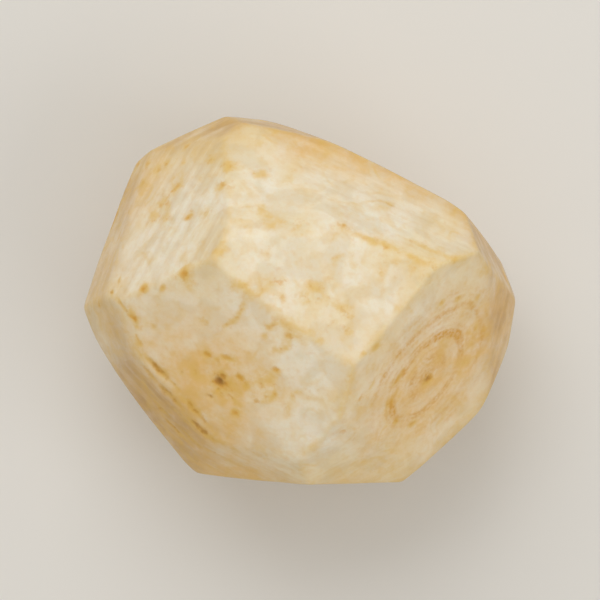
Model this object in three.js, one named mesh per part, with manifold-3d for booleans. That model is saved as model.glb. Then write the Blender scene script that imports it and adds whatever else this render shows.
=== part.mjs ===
// Peeled celeriac: a celery root pared to a rough ball by straight knife cuts.
//
// Units are millimetres and +Z is up. The root lies on its widest flat cut. Its long side runs
// along X, and the origin is the middle of the bottom of its box, on the surface it rests on.
//
// The shape is made as a cook makes it. It starts as a raw root, a ball with its skin on, and each
// knife cut slices off everything outside one plane. Enough cuts leave no skin at all, only
// flat facets that meet in blunt ridges.

import * as THREE from 'three';
import { mergeVertices } from 'three/addons/utils/BufferGeometryUtils.js';
import Module from 'manifold-3d';

// ---- Driving dimensions (mm) -------------------------------------------------------------------

// The raw root with its skin on, as a ball of this radius and number of segments. All of its skin is
// cut away.
const RAW_RADIUS = 66;
const SKIN_SEGMENTS = 48;
const SKIN_RINGS = 24;

// Corners closer than this are one corner, so the raw root is welded shut before it is cut.
const WELD = 1e-4;

// A cutting block far larger than the root: its underside is the knife's plane.
const BLOCK = 400;

// ---- The knife cuts ----------------------------------------------------------------------------

// Each cut is [name, azimuth, elevation, distance]. Azimuth and elevation, in degrees, say which way
// the facet faces: azimuth 0 is +X, 90 is +Y, and elevation 90 is straight up. Distance, in mm, is how
// far the knife passed from the middle of the root.
const KNIFE_CUTS = [
  // On top
  ['crown', 20, 85, 44],
  ['crown_back', 86, 64, 46.4],
  ['crown_back_right', 58, 65, 47.1],
  ['crown_front', -118, 61, 41.7],
  ['crown_left', -135, 55, 41.6],
  ['crown_front_left', -126, 47, 42.7],

  // The shoulder, all round
  ['ring_scar', -37, 37, 41.6],
  ['shoulder_back_right', 67, 40, 42.4],
  ['shoulder_back', 85, 51, 44.6],
  ['shoulder_back_left', 145, 39, 46.5],
  ['shoulder_left', -154, 25, 48.2],
  ['shoulder_front_left', -135, 25, 44.6],
  ['shoulder_front', -114, 27, 44.7],
  ['shoulder_front_right', -62, 34, 44.4],
  ['shoulder_right', -13, 18, 48.6],

  // Round the waist
  ['waist_back', 78, 6, 41.7],
  ['waist_back_left', 117, 20, 50.3],
  ['waist_left_back', 157, 18, 49.3],
  ['waist_right_back', 24, 8, 48.1],
  ['waist_back_right', 64, -2, 37.5],
  ['waist_corner', 50, -4, 40.5],
  ['waist_front_right', -48, 0, 49.9],
  ['waist_front_left', -130, 2, 49],

  // Below the waist
  ['flank_right', -7, -6, 52.8],
  ['flank_right_front', -26, -4, 51.5],
  ['flank_back', 92, -8, 45.3],
  ['flank_back_left', 112, -10, 46.1],
  ['flank_left_back', 162, -8, 48.8],
  ['flank_left', -159, -10, 48.1],
  ['flank_front_left', -146, -6, 46],
  ['flank_front', -92, -2, 43.6],

  // Where the flanks turn under
  ['turn_right', 8, -24, 50.3],
  ['turn_front_right', -60, -20, 49],
  ['turn_front', -101, -25, 44.6],
  ['turn_front_left', -134, -22, 45.7],
  ['turn_left', -178, -28, 48.3],
  ['turn_back', 128, -27, 46.5],
  ['turn_back_right', 76, -23, 42.1],
  ['turn_corner', 40, -26, 45.3],

  // Underneath
  ['under_right', -5, -44, 46],
  ['under_back_right', 55, -42, 42],
  ['under_back', 105, -46, 43],
  ['under_back_left', 150, -42, 45],
  ['under_left', -165, -48, 45],
  ['under_front_left', -120, -42, 43],
  ['under_front', -75, -48, 45],
  ['under_front_right', -42, -36, 46],

  // The sole and the cuts round its edge
  ['sole_right', -24, -66, 46.1],
  ['sole_front', -98, -68, 44.6],
  ['sole_left', -142, -64, 44.3],
  ['sole_back_left', 166, -69, 45.4],
  ['sole_back', 82, -65, 43.5],
  ['sole_back_right', 28, -70, 45.6],
  ['base', 0, -90, 42.5],
];

// ---- Making it ---------------------------------------------------------------------------------

const wasm = await Module();
wasm.setup();

// Turns a three.js geometry into a solid that can be cut.
function toSolid(geometry) {
  const bare = geometry.clone();
  bare.deleteAttribute('normal');
  bare.deleteAttribute('uv');
  const merged = mergeVertices(bare, WELD);
  return new wasm.Manifold(new wasm.Mesh({
    numProp: 3,
    vertProperties: new Float32Array(merged.attributes.position.array),
    triVerts: new Uint32Array(merged.index.array),
  }));
}

// Turns a solid back into a three.js geometry.
function toGeometry(solid) {
  const mesh = solid.getMesh();
  const geometry = new THREE.BufferGeometry();
  geometry.setAttribute('position', new THREE.BufferAttribute(mesh.vertProperties, mesh.numProp));
  geometry.setIndex(new THREE.BufferAttribute(mesh.triVerts, 1));
  geometry.computeVertexNormals();
  return geometry;
}

// The direction that a facet faces, from its azimuth and elevation in degrees.
function facing(azimuth, elevation) {
  const a = THREE.MathUtils.degToRad(azimuth);
  const e = THREE.MathUtils.degToRad(elevation);
  return new THREE.Vector3(Math.cos(e) * Math.cos(a), Math.cos(e) * Math.sin(a), Math.sin(e));
}

// The block that one knife cut takes away.
function slicedOff([, azimuth, elevation, distance]) {
  const up = new THREE.Vector3(0, 0, 1);
  const turn = new THREE.Quaternion().setFromUnitVectors(up, facing(azimuth, elevation));
  const block = new THREE.BoxGeometry(BLOCK, BLOCK, BLOCK);
  block.translate(0, 0, BLOCK / 2 + distance);
  block.applyQuaternion(turn);
  return toSolid(block);
}

// The root with its skin on.
function rawRoot() {
  return toSolid(new THREE.SphereGeometry(RAW_RADIUS, SKIN_SEGMENTS, SKIN_RINGS));
}

// The root after every cut, standing on its base with the origin under the middle of its box.
function peeledRoot() {
  const peeled = KNIFE_CUTS.reduce((root, cut) => root.subtract(slicedOff(cut)), rawRoot());
  const geometry = toGeometry(peeled);
  geometry.computeBoundingBox();
  const { min, max } = geometry.boundingBox;
  geometry.translate(-(min.x + max.x) / 2, -(min.y + max.y) / 2, -min.z);
  return geometry;
}

// Bare celeriac flesh: cream, moist and slightly glossy.
const flesh = new THREE.MeshStandardMaterial({
  color: 0xe6d6b2,
  roughness: 0.45,
  metalness: 0,
  flatShading: true,
});

const peeledCeleriac = new THREE.Mesh(peeledRoot(), flesh);
peeledCeleriac.name = 'peeled_celeriac';

const group = new THREE.Group();
group.add(peeledCeleriac);

export default group;
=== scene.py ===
# %% [markdown]
# # A peeled celeriac
#
# Celeriac is a celery grown for its swollen root. A cook peels it with a knife, in straight strokes
# that each leave a flat facet, until no skin is left: a rough ball of facets that meet in blunt ridges.
# The flesh is cream, a little moist, and marked by what grew in it: ochre growth rings, the brown
# scars of side roots, and the streaks of the knife.
#
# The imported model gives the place, the size and every cut. This file gives the surface its life. It is
# read from top to bottom, and each step says what it makes and why it is made that way.

# %% Load the frame
import math

import bpy
import numpy as np
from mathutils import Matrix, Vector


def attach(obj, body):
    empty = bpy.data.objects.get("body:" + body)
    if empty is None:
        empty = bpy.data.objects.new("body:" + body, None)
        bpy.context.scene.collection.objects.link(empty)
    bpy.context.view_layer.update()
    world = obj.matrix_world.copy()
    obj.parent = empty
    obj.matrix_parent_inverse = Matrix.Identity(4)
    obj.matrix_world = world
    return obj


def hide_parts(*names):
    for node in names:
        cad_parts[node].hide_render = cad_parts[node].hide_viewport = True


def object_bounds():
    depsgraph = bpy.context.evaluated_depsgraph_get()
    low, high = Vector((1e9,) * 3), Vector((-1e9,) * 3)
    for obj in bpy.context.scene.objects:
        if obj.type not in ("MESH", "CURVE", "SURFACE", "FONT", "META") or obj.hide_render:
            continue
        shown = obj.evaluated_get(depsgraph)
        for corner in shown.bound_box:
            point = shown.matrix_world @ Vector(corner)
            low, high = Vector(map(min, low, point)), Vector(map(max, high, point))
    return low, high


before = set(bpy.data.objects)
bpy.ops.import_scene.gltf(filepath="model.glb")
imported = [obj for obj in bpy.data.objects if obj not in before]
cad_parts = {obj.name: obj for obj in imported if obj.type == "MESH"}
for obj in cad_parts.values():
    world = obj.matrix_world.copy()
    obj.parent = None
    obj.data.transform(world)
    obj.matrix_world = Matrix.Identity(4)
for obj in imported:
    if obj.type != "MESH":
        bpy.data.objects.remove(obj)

MM = 0.001
cad_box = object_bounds()
print("CAD box in mm:", [np.round(np.array(corner) / MM, 2).tolist() for corner in cad_box])

# %% [markdown]
# ## The knife cuts
#
# The CAD solid is a set of flat facets, stored as loose triangles. Two triangles belong to one cut if
# they face the same way, so each triangle takes the number of the largest triangle that it agrees
# with. A cut is then three facts: which way it faces, how far it is from the middle of the root, and
# where its own middle is. Reading the cuts from the solid keeps both models in step: a cut moved there
# moves here.

# %% Read each cut from the solid
# Triangles that face within 2 degrees of each other are one cut. A triangle smaller than a sliver, in
# square mm, has no sure direction and is passed over.
SAME_WAY = math.cos(math.radians(2.0))
SLIVER = 1e-3


def read_cuts(node, middle):
    """The distinct planes of a faceted solid, in mm from its middle: normals, distances, centroids, spans.

    Normal = cross product of two edges; distance = normal . centroid; triangles that face the same
    way are averaged, weighted by area; span = distance of the farthest corner from the centroid."""
    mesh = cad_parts[node].data
    mesh.calc_loop_triangles()
    points = np.zeros(len(mesh.vertices) * 3)
    mesh.vertices.foreach_get("co", points)
    corners = np.zeros(len(mesh.loop_triangles) * 3, dtype=np.int64)
    mesh.loop_triangles.foreach_get("vertices", corners)
    triangles = points.reshape(-1, 3)[corners.reshape(-1, 3)] / MM - middle
    cross = np.cross(triangles[:, 1] - triangles[:, 0], triangles[:, 2] - triangles[:, 0])
    area = np.linalg.norm(cross, axis=1) / 2
    big_first = np.argsort(-area)
    big_first = big_first[area[big_first] > SLIVER]
    triangles, area = triangles[big_first], area[big_first]
    facing = cross[big_first] / (2 * area[:, None])
    label = np.argmax(facing @ facing.T > SAME_WAY, axis=1)
    cuts, label = np.unique(label, return_inverse=True)
    share = np.zeros((len(cuts), len(area)))
    share[label, np.arange(len(area))] = area
    share /= share.sum(axis=1, keepdims=True)
    normals = share @ facing
    normals /= np.linalg.norm(normals, axis=1, keepdims=True)
    centroids = share @ triangles.mean(axis=1)
    spread = np.linalg.norm(triangles - centroids[label][:, None], axis=2).max(axis=1)
    spans = np.zeros(len(cuts))
    np.maximum.at(spans, label, spread)
    return normals, np.sum(normals * centroids, axis=1), centroids, spans


low, high = (np.array(corner) / MM for corner in cad_box)
MIDDLE = (low + high) / 2
normals, distances, centroids, spans = read_cuts("peeled_celeriac", MIDDLE)
base = int(np.argmin(normals[:, 2]))
print(len(normals), "cuts, from", round(distances.min(), 1), "to", round(distances.max(), 1),
      "mm from the middle; the base is cut", base)

# %% [markdown]
# ## Small helpers for whole arrays
#
# Everything below is worked out for all points at once. Three helpers are enough: a direction from two
# angles, a step that eases from 0 to 1, and soft random noise. The noise puts a random number at each
# corner of a lattice and blends between the corners, so it wanders smoothly and is the same each run.

# %% Directions, steps and noise
# The noise repeats after this many cells, too far away to notice. It has two layers of these strengths.
LATTICE = 32
NOISE_LAYERS = (0.67, 0.33)


def direction(azimuth, elevation):
    """(cos e cos a, cos e sin a, sin e), for angles in degrees: azimuth 0 is +X and 90 is +Y."""
    a, e = np.radians(azimuth), np.radians(elevation)
    return np.stack([np.cos(e) * np.cos(a), np.cos(e) * np.sin(a), np.sin(e) + 0 * a], axis=-1)


def ease(value, start, stop):
    """0 before start, 1 after stop, and 3 t^2 - 2 t^3 between them."""
    t = np.clip((value - start) / (stop - start), 0, 1)
    return t * t * (3 - 2 * t)


def soft_noise(places, size, seed):
    """From -1 to 1: random numbers on a lattice with cells of that size, blended by the ease curve.

    A second layer has cells half as wide and is half as strong."""
    total = np.zeros(places.shape[:-1])
    for layer, strength in enumerate(NOISE_LAYERS):
        table = np.random.default_rng([seed, layer]).uniform(-1, 1, (LATTICE,) * 3)
        cell = places * 2 ** layer / size
        whole = np.floor(cell).astype(np.int64)
        part = ease(cell - whole, 0, 1)
        for corner in np.ndindex(2, 2, 2):
            weight = np.prod(np.where(corner, part, 1 - part), axis=-1)
            total += strength * weight * table[tuple(np.moveaxis((whole + corner) % LATTICE, -1, 0))]
    return total


print("east and up:", direction(0, 0), direction(0, 90).round(3))

# %% [markdown]
# ## How a knife cut really bends
#
# A cut is straight along the blade, but the hand swings round the root as it slices, so the facet
# bows outwards along the stroke. Each cut becomes a shallow dish turned inside out: its plane less
# a^2 / 2Ra for the distance a along the stroke, and less b^2 / 2Rb for the distance b along the
# blade. A facet of span s that falls away by h at its far corner has the radius s^2 / 2h, but a small
# facet keeps a radius well above the root's own, or its dish would cut into its neighbours. The strokes
# go round the root, which is level on its sides. They lie more freely on the lower half, where the root
# was turned over in the hand. The base stays truly flat, because the root stands on it.

# %% Give every cut a stroke and a bow
# How far a facet falls away at its corner, in mm, along the stroke and along the blade; its least radius,
# in mm; and how far each whole facet is lifted, in mm, so that the bowed root still fills its box.
STROKE_BOW = (0.45, 0.85)
BLADE_BOW = (0.1, 0.3)
LEAST_RADIUS = 230.0
FACET_LIFT = 0.2
FLAT = 1e9
# How far a stroke may tilt from level, in degrees. A cut is low if its normal's Z is under LOW_CUT.
STROKE_TILT = 9.0
LOW_STROKE_TILT = 40.0
LOW_CUT = 0.1
STROKE_SEED = 11
# A few strokes that lie otherwise: azimuth and elevation that the cut faces, azimuth of the stroke.
SET_STROKES = [(145, 39, 70), (-135, 25, -50), (-7, -6, 88), (117, 20, 22), (67, 40, -27), (58, 65, -27)]

draw = np.random.default_rng(STROKE_SEED)
stroke = np.cross([0.0, 0.0, 1.0], normals)
stroke[base] = [1.0, 0.0, 0.0]
stroke /= np.linalg.norm(stroke, axis=1, keepdims=True)
blade = np.cross(normals, stroke)
most_tilt = np.where(normals[:, 2] < LOW_CUT, LOW_STROKE_TILT, STROKE_TILT)
tilt = np.radians(draw.uniform(-1, 1, len(normals)) * most_tilt)[:, None]
level, upright = stroke, blade
stroke = np.cos(tilt) * level + np.sin(tilt) * upright
blade = np.cos(tilt) * upright - np.sin(tilt) * level
for azimuth, elevation, lie in SET_STROKES:
    cut = np.argmax(normals @ direction(azimuth, elevation))
    heading = direction(lie, 0)
    stroke[cut] = heading - (heading @ normals[cut]) * normals[cut]
    stroke[cut] /= np.linalg.norm(stroke[cut])
    blade[cut] = np.cross(normals[cut], stroke[cut])
stroke_radius = np.maximum(spans ** 2 / (2 * draw.uniform(*STROKE_BOW, len(normals))), LEAST_RADIUS)
blade_radius = np.maximum(spans ** 2 / (2 * draw.uniform(*BLADE_BOW, len(normals))), LEAST_RADIUS)
lift = np.full(len(normals), FACET_LIFT)
stroke_radius[base] = blade_radius[base] = FLAT
lift[base] = 0.0
print("stroke radii from", round(stroke_radius.min()), "mm; every cut but the base bows outwards")

# %% [markdown]
# ## The ball of points
#
# The surface is a function of direction: from the middle of the root, each ray meets every bowed cut
# once, and the nearest cut is the surface. The rays come from six square grids, the faces of a cube
# blown up to a ball, because that spreads them evenly and has no pole. Points that two grids share are
# merged, so the skin is closed.

# %% Make the rays
# Quads along each edge of the cube: a quad is then about 0.6 mm wide on the root.
GRID = 126


def cube_ball(n):
    """Rays and quads of a cube blown up to a ball.

    On each side of the cube, ray = side + tan(45 s) across + tan(45 t) up, for s and t from -1 to 1 on
    a grid of n by n quads; the tangent gives every quad about the same angle."""
    step = np.tan(np.linspace(-1, 1, n + 1) * math.pi / 4)
    s, t = np.meshgrid(step, step, indexing="ij")
    sides, quads = [], []
    square = np.arange((n + 1) ** 2).reshape(n + 1, n + 1)
    loop = np.stack([square[:-1, :-1], square[1:, :-1], square[1:, 1:], square[:-1, 1:]], axis=-1)
    for axis in range(3):
        for sign in (1.0, -1.0):
            side, across = np.zeros(3), np.zeros(3)
            side[axis] = sign
            across[(axis + 1) % 3] = 1.0
            up = np.cross(side, across)
            quads.append(loop.reshape(-1, 4) + len(sides) * square.size)
            sides.append((side + s[..., None] * across + t[..., None] * up).reshape(-1, 3))
    rays = np.concatenate(sides)
    rays /= np.linalg.norm(rays, axis=1, keepdims=True)
    key = np.round(rays, 6) + 0.0
    _, first, merged = np.unique(key, axis=0, return_index=True, return_inverse=True)
    return rays[first], merged.reshape(-1)[np.concatenate(quads)]


rays, quads = cube_ball(GRID)
print(len(rays), "rays and", 2 * len(quads), "triangles")

# %% [markdown]
# ## From cuts to surface
#
# Putting the ray p = t u into a bowed cut gives a quadratic in t, solved for all rays and all cuts
# together. Taking the plain minimum would leave ridges as sharp as glass, and a knife never does: the
# flesh at a ridge is blunt. A soft minimum, -k log(sum exp(-t / k)), rounds a ridge over a width of a
# few k. A slow noise on k makes some ridges keener than others.

# %% Find the surface along each ray
# In mm: the least and the greatest k, and the size of a patch where ridges are alike.
RIDGE_SOFTNESS = (0.13, 0.40)
SOFTNESS_PATCH = 17.0
# exp(-NOTHING) is as good as 0, and TINY keeps a division from failing.
NOTHING = 60.0
TINY = 1e-9


def reach(rays):
    """Distance t along each ray to each bowed cut: A t^2 + B t + C = 0, with
    A = ua^2 / 2Ra + ub^2 / 2Rb, B = n.u - a0 ua / Ra - b0 ub / Rb and
    C = a0^2 / 2Ra + b0^2 / 2Rb - (distance + lift), where a0, b0 are the centroid's own a and b."""
    ua, ub = rays @ stroke.T, rays @ blade.T
    a0 = np.sum(centroids * stroke, axis=1)
    b0 = np.sum(centroids * blade, axis=1)
    a_term = ua ** 2 / (2 * stroke_radius) + ub ** 2 / (2 * blade_radius)
    b_term = rays @ normals.T - a0 * ua / stroke_radius - b0 * ub / blade_radius
    c_term = a0 ** 2 / (2 * stroke_radius) + b0 ** 2 / (2 * blade_radius) - distances - lift
    root = np.sqrt(b_term ** 2 - 4 * a_term * c_term)
    return -2 * c_term / np.maximum(b_term + root, TINY)


hits = reach(rays)
own = np.argmin(hits, axis=1)
nearest = hits.min(axis=1)
softness = 0.5 + 0.5 * soft_noise(rays * nearest[:, None], SOFTNESS_PATCH, seed=3)
softness = RIDGE_SOFTNESS[0] + (RIDGE_SOFTNESS[1] - RIDGE_SOFTNESS[0]) * softness
gap = (hits - nearest[:, None]) / softness[:, None]
radius = nearest - softness * np.log(np.exp(-np.minimum(gap, NOTHING)).sum(axis=1))
smooth = rays * radius[:, None]
print("radius from", round(radius.min(), 1), "to", round(radius.max(), 1), "mm")

# %% [markdown]
# ## Where each point lies on its facet
#
# The marks need three maps. How far it is to the nearest ridge, because ridges are more ochre and keep
# no knife streaks. How deep the point was under the skin, because deep flesh is whiter. And where the
# point lies along and across the knife's stroke.

# %% Measure ridge, depth and stroke
# The skin is taken as an oval ball that reaches this far beyond each side of the root's box, in mm. A
# turn is the sine of the angle between two cuts, and never quite nothing, because it divides.
SKIN_MARGIN = 3.0
LEAST_TURN = 1e-3

own_normal = normals[own]
inside = np.maximum(distances + lift - smooth @ normals.T, 0)
turn = np.sqrt(np.maximum(1 - (normals @ normals.T) ** 2, LEAST_TURN ** 2))
away = inside / turn[own]
away[np.arange(len(own)), own] = np.inf
neighbour = np.argmin(away, axis=1)
ridge_distance = away.min(axis=1)
ridge_turn = turn[own, neighbour]
half = (high - low) / 2 + SKIN_MARGIN
skin_radius = 1 / np.sqrt(np.sum((rays / half) ** 2, axis=1))
depth = skin_radius - radius
along = np.sum(smooth * stroke[own], axis=1)
across = np.sum(smooth * blade[own], axis=1)
print("depth under the skin from", round(depth.min(), 1), "to", round(depth.max(), 1), "mm")

# %% [markdown]
# ## Scars of side roots
#
# Celeriac is covered in side roots. Where the knife passes through the stump of one it leaves a mark:
# a brown pit, an ochre spot with a halo, or only a soft stain. The ones on top are placed one by one,
# in mm as seen from above. Each is an oval cloud, exp(-(a / length)^2 - (b / width)^2), on the
# surface, and a few are threads that curl round a centre. Underneath and round the lower half they are
# strewn at random, and they are larger near the root end, as side roots are. Each strewn mark has a
# faint halo, and only some have a brown pit.

# %% The scars on top
# Each mark: x, y, half length, half width, azimuth of its long side, ochre, brown.
TOP_MARKS = [
    # The dark pit on the front left, with the ochre cloud beside it
    (-19.3, -19.6, 1.7, 1.3, -30, 1.0, 0.9),
    (-18.4, -18.4, 1.0, 1.7, 30, 0.9, 0.45),
    (-19.8, -21.2, 1.2, 0.8, 60, 0.8, 0.4),
    (-18.8, -19.8, 4.2, 3.2, -20, 0.75, 0.2),
    (-21.8, -23.4, 0.9, 0.7, -40, 0.6, 0.5),
    (-20.6, -22.2, 0.7, 0.9, -40, 0.5, 0.3),
    (-16.5, -23.5, 4.5, 0.9, -48, 0.4, 0.0),
    (-17.5, -14, 3.6, 1.0, -8, 0.75, 0.0),
    (-5.5, -16.8, 1.7, 1.2, 0, 0.52, 0.0),
    (-22.6, -5.6, 1.3, 1.2, 0, 0.52, 0.0),
    (-35.1, -6.7, 0.9, 0.9, 0, 0.45, 0.1),
    (-22.6, -13.0, 1.4, 1.0, -20, 0.8, 0.1),
    (-19.8, -14.2, 1.2, 0.9, -10, 0.6, 0.0),
    (-14.5, -18.4, 1.6, 1.1, -20, 0.8, 0.0),
    (-12.7, -20.6, 1.0, 1.4, 0, 0.6, 0.0),
    (-15.6, -27, 1.3, 1.1, 0, 0.85, 0.1),
    (-20, -24.5, 2.6, 0.9, -50, 0.35, 0.0),
    (-9, -20, 5.2, 4.0, 10, 0.42, 0.0),
    (-8, -23, 2.2, 0.9, 0, 0.4, 0.0),
    (-28.5, -17.5, 1.0, 0.9, 0, 0.5, 0.05),
    (-25, -18, 3.0, 1.6, -60, 0.35, 0.0),
    # Spots on the left
    (-28, 6.5, 1.9, 1.5, 80, 0.9, 0.12),
    (-27.5, 5.8, 3.4, 2.6, 60, 0.45, 0.0),
    (-37.4, 2.7, 1.3, 1.4, 60, 0.85, 0.05),
    (-33.1, 3, 0.8, 1.7, -30, 0.6, 0.1),
    (-44, 5, 1.8, 0.7, 70, 0.6, 0.1),
    # Soft blotches on the back left
    (-32.8, 24, 3.4, 2.6, 40, 0.5, 0.0),
    (-30.6, 26.8, 2.8, 2.2, 70, 0.46, 0.0),
    (-35.4, 19.7, 2.6, 2.2, 40, 0.44, 0.0),
    (-32, 20, 1.8, 1.4, 60, 0.38, 0.0),
    (-26.9, 20, 1.8, 1.4, 20, 0.68, 0.05),
    (-22.5, 21, 2.2, 1.6, 60, 0.46, 0.0),
    (-18.3, 27.6, 3.4, 1.7, 5, 0.56, 0.0),
    (-17, 31.8, 5.0, 2.2, 12, 0.44, 0.0),
    (-9, 30.4, 2.6, 1.7, 10, 0.5, 0.0),
    (-22, 34, 2.8, 1.6, 10, 0.38, 0.0),
    (-24, 29, 1.8, 1.5, 0, 0.36, 0.0),
    (-37.4, 33.1, 1.4, 1.3, 0, 0.55, 0.0),
    (-35, 31.5, 2.8, 1.8, -20, 0.4, 0.0),
    (-32.5, 33.2, 1.1, 1.0, 0, 0.48, 0.0),
    (-28.5, 33, 1.4, 1.2, 0, 0.46, 0.0),
    (-38.5, 29, 1.8, 1.4, 70, 0.44, 0.0),
    (-27.6, 37.2, 3.6, 0.9, 22, 0.55, 0.06),
    # Wisps on the crown
    (-5.6, 4.8, 3.6, 3.0, 30, 0.4, 0.0),
    (3.6, 3.2, 3.2, 2.0, -10, 0.36, 0.0),
    (-2.6, -8.2, 2.0, 1.5, -30, 0.6, 0.0),
    (-7.2, -6.6, 2.0, 1.4, 20, 0.5, 0.0),
    (-5, 1, 2.2, 1.2, -20, 0.35, 0.0),
    (-19, 11, 2.2, 1.4, 0, 0.35, 0.0),
    (-12.5, 22.5, 2.0, 1.2, 0, 0.3, 0.0),
    (-7, 18, 4.2, 1.8, 10, 0.3, 0.0),
    (-8, 12, 1.6, 2.6, 0, 0.28, 0.0),
    (-14, 3, 2.0, 1.6, 0, 0.35, 0.0),
    (11, -3, 3.6, 1.8, 100, 0.34, 0.0),
    (8, -6, 2.8, 1.4, 40, 0.26, 0.0),
    (1, 1, 3.4, 1.6, 20, 0.3, 0.0),
    (4.5, -10, 3.4, 1.7, 10, 0.3, 0.0),
    (12, 9, 1.4, 2.8, 20, 0.3, 0.0),
    (23, 9, 2.4, 1.5, -30, 0.36, 0.0),
    (22, 3, 1.4, 3.0, 0, 0.3, 0.0),
    (31, 5, 2.4, 1.6, -20, 0.38, 0.0),
    # The corner of three ridges, the ochre band below the long facet, and a nick on it
    (10.3, 17.4, 2.4, 1.7, -20, 0.58, 0.0),
    (16, 14.8, 6.5, 1.3, -25, 0.56, 0.0),
    (22, 12.2, 6.0, 1.1, -25, 0.46, 0.0),
    (28, 9.5, 6.5, 1.3, -25, 0.46, 0.0),
    (29.7, 12.9, 8.0, 1.0, -21, 0.42, 0.0),
    (37, 9.2, 5.0, 1.1, -14, 0.3, 0.0),
    (9.5, 22.5, 1.8, 1.0, -30, 0.3, 0.0),
    (21.5, 23, 1.7, 0.5, -35, 0.35, 0.35),
    # The core of the great ring scar
    (31.3, -18.9, 2.1, 1.4, 60, 0.9, 0.5),
    (31.3, -18.9, 1.1, 0.8, 60, 0.9, 0.7),
    # Thick parts of its rings
    (21.6, -24.8, 3.4, 1.1, 74, 0.62, 0.02),
    (23.6, -18.8, 3.6, 1.0, 69, 0.68, 0.0),
    (30.2, -26.7, 3.4, 0.8, 14, 0.42, 0.0),
    (23.4, -29.3, 2.8, 1.1, -38, 0.66, 0.04),
    (27.4, -30.3, 3.0, 1.0, 8, 0.8, 0.06),
    (42.6, -7.0, 5.0, 0.8, -85, 0.48, 0.0),
    (35.0, -9.4, 3.4, 0.9, 20, 0.45, 0.0),
    (41, -12, 8.0, 4.5, 72, 0.22, 0.0),
    # Right rim, and flecks outside the rings
    (46, 9, 1.2, 4.4, -70, 0.6, 0.0),
    (34, -1, 1.6, 1.0, 30, 0.6, 0.0),
    (38, 0.5, 1.2, 0.9, 50, 0.55, 0.0),
    (43, 0.5, 0.9, 1.2, 0, 0.5, 0.0),
    (18, -11.5, 1.5, 1.1, 50, 0.55, 0.0),
    (15, -13, 1.1, 0.9, 0, 0.45, 0.0),
    (14, -24, 2.4, 1.2, 60, 0.42, 0.0),
    (17.5, -20, 3.0, 0.9, 66, 0.44, 0.0),
    (11.5, -17.5, 1.3, 1.2, 0, 0.45, 0.0),
    (10, -31.5, 1.8, 2.2, 0, 0.4, 0.0),
    # The front
    (3, -23.5, 3.0, 1.0, -10, 0.35, 0.0),
    (-2, -36.5, 1.6, 0.8, 0, 0.3, 0.0),
    # Brown dashes along the knife on the lower left
    (-34.2, -16.6, 4.6, 1.2, -44, 0.85, 0.55),
    (-35.8, -18.4, 6.0, 0.9, -48, 0.55, 0.3),
    (-32.4, -22.2, 3.6, 1.2, -46, 0.8, 0.5),
    (-30.8, -20.0, 5.0, 0.8, -48, 0.5, 0.25),
    (-33.6, -26.4, 8.0, 1.0, -54, 0.5, 0.32),
    (-28.4, -28.6, 6.0, 0.9, -50, 0.5, 0.32),
    (-26.2, -34.0, 5.0, 0.9, -46, 0.45, 0.28),
    (-29.6, -25.0, 4.0, 1.0, -50, 0.6, 0.25),
    (-25.6, -26.6, 7.0, 1.2, -54, 0.66, 0.3),
    (-24.2, -31.2, 4.8, 1.3, -46, 0.85, 0.5),
    (-21.6, -33.6, 2.6, 1.0, -40, 0.6, 0.25),
    (-36.2, -22.4, 6.0, 1.1, -62, 0.55, 0.25),
    (-31.4, -30.4, 6.5, 1.1, -50, 0.6, 0.28),
    (-34.2, -26.6, 1.6, 1.1, -40, 0.6, 0.25),
    (-28, -36, 3.4, 1.1, -38, 0.5, 0.2),
    (-21, -37.2, 3.0, 1.2, -20, 0.5, 0.18),
    # The brown line down the ridge on the left
    (-45.4, 1.7, 1.3, 0.8, -45, 0.7, 0.4),
    (-43.8, 4.4, 1.8, 0.7, 75, 0.45, 0.15),
    (-43.2, -1.0, 3.2, 0.8, -52, 0.62, 0.34),
    (-40.4, -4.2, 3.2, 1.0, -68, 0.72, 0.15),
    (-39.2, -6.2, 1.6, 1.2, -60, 0.45, 0.05),
    (-39.3, -9.4, 4.8, 0.8, -82, 0.6, 0.2),
    (-38.6, -13.6, 2.6, 0.8, -70, 0.5, 0.2),
    (-48.6, -1.0, 4.4, 0.8, 27, 0.5, 0.15),
]
print(len(TOP_MARKS), "marks placed on top, the longest", 2 * max(mark[2] for mark in TOP_MARKS), "mm long")

# %% The threads on top
# Each thread of ochre: x, y of the centre it curls round, radius, azimuths it runs between, half width,
# ochre.
TOP_THREADS = [
    (-5.4, -8.9, 3.2, -130, 200, 1.1, 0.4),
    (-20.2, 0.2, 6.8, -95, 12, 0.9, 0.42),
    (-8.9, -21.9, 2.8, -180, 180, 1.0, 0.42),
    (5.0, -5.6, 6.0, -60, 150, 1.6, 0.3),
    (5.0, -5.6, 6.2, 190, 285, 1.5, 0.28),
    (24, 4.5, 5.0, 20, 200, 1.5, 0.28),
    (-12, 6, 4.6, -160, -20, 1.4, 0.28),
    (13, 6, 5.5, 100, 260, 1.5, 0.28),
    (-3, 24, 6.5, 170, 330, 1.5, 0.28),
    (3, -27, 6.0, 60, 200, 1.3, 0.26),
]
# The ends of a thread fade out over this many degrees.
THREAD_END = 25
print(len(TOP_THREADS), "threads")


# %% Marks as clouds and threads
def on_top(x, y):
    """The point of the upper surface nearest to x, y as seen from above."""
    aside = np.hypot(smooth[:, 0] - x, smooth[:, 1] - y)
    return smooth[np.argmin(np.where(smooth[:, 2] > 0, aside, np.inf))]


def on_side(azimuth, elevation):
    """The point of the surface that lies most nearly in that direction from the middle."""
    return smooth[np.argmax(rays @ direction(azimuth, elevation))]


def cloud(place, length, width, azimuth):
    """exp(-(a / length)^2 - (b / width)^2), with a measured level, at that azimuth, and b across it."""
    offset = smooth - place
    a = offset @ direction(azimuth, 0)
    b_squared = np.maximum(np.sum(offset ** 2, axis=1) - a ** 2, 0)
    return np.exp(-(a / length) ** 2 - b_squared / width ** 2)


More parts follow.
